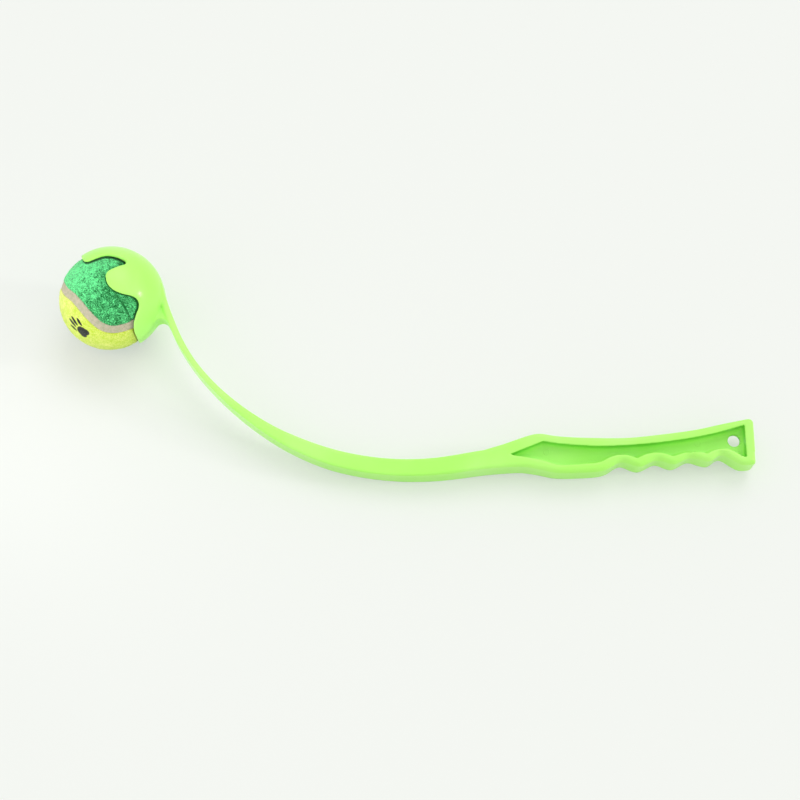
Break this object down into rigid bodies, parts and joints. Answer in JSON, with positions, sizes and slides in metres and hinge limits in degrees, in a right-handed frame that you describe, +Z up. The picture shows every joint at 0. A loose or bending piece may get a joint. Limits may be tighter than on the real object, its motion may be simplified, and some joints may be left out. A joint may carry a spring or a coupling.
{
  "type": "tennis ball launcher",
  "caption": "Hand launcher for fetch: a scalloped cup on a bowed springy arm holds a felt ball, with a flanged handle that has finger grooves and a hanging hole.",
  "frame": {"origin": "middle of the bounding box, on the surface that the launcher lies on", "axes": "+X along the launcher from the ball to the handle's butt, +Z up from the surface that it lies on, on its side"},
  "size_m": [0.4504, 0.156, 0.0683],
  "materials": {
    "lime_plastic": "glossy",
    "green_felt": "felt nap",
    "yellow_felt": "felt nap",
    "seam_cement": "matt",
    "core_rubber": "matt"
  },
  "bodies": {
    "launcher": {"throwing_cup": "lime_plastic", "whip_arm": "lime_plastic", "grip_handle": "lime_plastic"},
    "ball": {"green_felt_panel": "green_felt", "yellow_felt_panel": "yellow_felt", "seam_band": "seam_cement", "core_half_front": "core_rubber", "core_half_back": "core_rubber"}
  },
  "joints": [
    {"name": "ball_release", "type": "slide", "parent": "launcher", "child": "ball", "axis": [-0.8351, -0.5501, 0], "range_m": [0, 0.08]}
  ]
}
